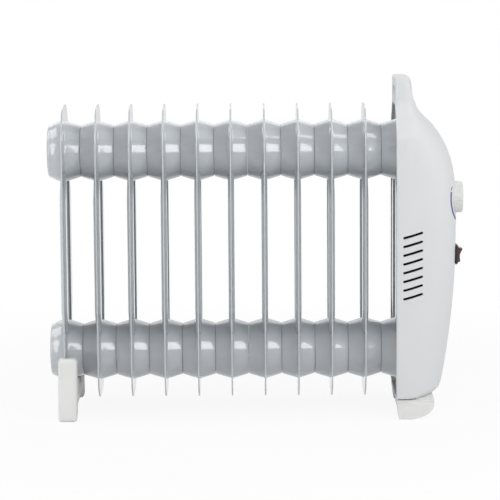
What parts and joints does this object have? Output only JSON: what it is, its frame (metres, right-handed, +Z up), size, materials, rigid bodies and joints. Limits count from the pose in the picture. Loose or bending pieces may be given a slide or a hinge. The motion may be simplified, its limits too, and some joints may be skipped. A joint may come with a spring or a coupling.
{
  "type": "oil filled radiator heater",
  "caption": "Portable oil filled radiator: grey pressed-steel fins on two headers, a white control housing with carry handle, turning thermostat knob, rocker switch and two feet.",
  "frame": {"origin": "on the floor under the middle of the heater", "axes": "+X towards the control housing and its knob, +Y across the fins, +Z up"},
  "size_m": [0.4528, 0.152, 0.365],
  "materials": {
    "fin_enamel": "glossy grey enamel over pressed steel",
    "housing_plastic": "fine satin moulding, light grey white",
    "foot_plastic": "satin moulding, warm white",
    "knob_plastic": "satin moulding, cool white",
    "steel": "zinc plated",
    "black_steel": "matt black paint over sheet steel",
    "shield_sheet": "bright rolled sheet",
    "brass": "turned",
    "black_plastic": "semi gloss",
    "rocker_red": "translucent dark red",
    "gasket_rubber": "matt",
    "cream_plastic": "ceramic-filled moulding"
  },
  "bodies": {
    "heater": {"fin_01": "fin_enamel", "fin_02": "fin_enamel", "fin_03": "fin_enamel", "fin_04": "fin_enamel", "fin_05": "fin_enamel", "fin_06": "fin_enamel", "fin_07": "fin_enamel", "fin_08": "fin_enamel", "fin_09": "fin_enamel", "fin_10": "fin_enamel", "fin_11": "fin_enamel", "control_housing": "housing_plastic", "rear_foot": "foot_plastic", "front_foot": "foot_plastic", "mounting_plate": "black_steel", "housing_screw_1": "steel", "housing_screw_2": "steel", "housing_screw_3": "steel", "housing_screw_4": "steel", "heating_element": "steel", "element_tab_live": "steel", "element_tab_neutral": "steel", "thermostat_nut": "steel", "foot_screw_1": "steel", "foot_screw_2": "steel", "heat_shield": "shield_sheet", "element_flange": "brass", "filler_plug": "brass", "switch_body": "black_plastic", "cord_gland": "black_plastic", "thermal_cutout": "black_plastic", "flange_gasket": "gasket_rubber", "thermostat": "cream_plastic", "terminal_block": "cream_plastic"},
    "knob": {"temperature_knob": "knob_plastic", "thermostat_shaft": "brass"},
    "rocker": {"rocker": "rocker_red"}
  },
  "joints": [
    {"name": "knob_turn", "type": "hinge", "parent": "heater", "child": "knob", "pos_m": [0.2144, 0, 0.233], "axis": [-1, 0, 0], "range_deg": [0, 270]},
    {"name": "rocker_tilt", "type": "hinge", "parent": "heater", "child": "rocker", "pos_m": [0.2195, 0, 0.17], "axis": [0, -1, 0], "range_deg": [0, 20]}
  ]
}
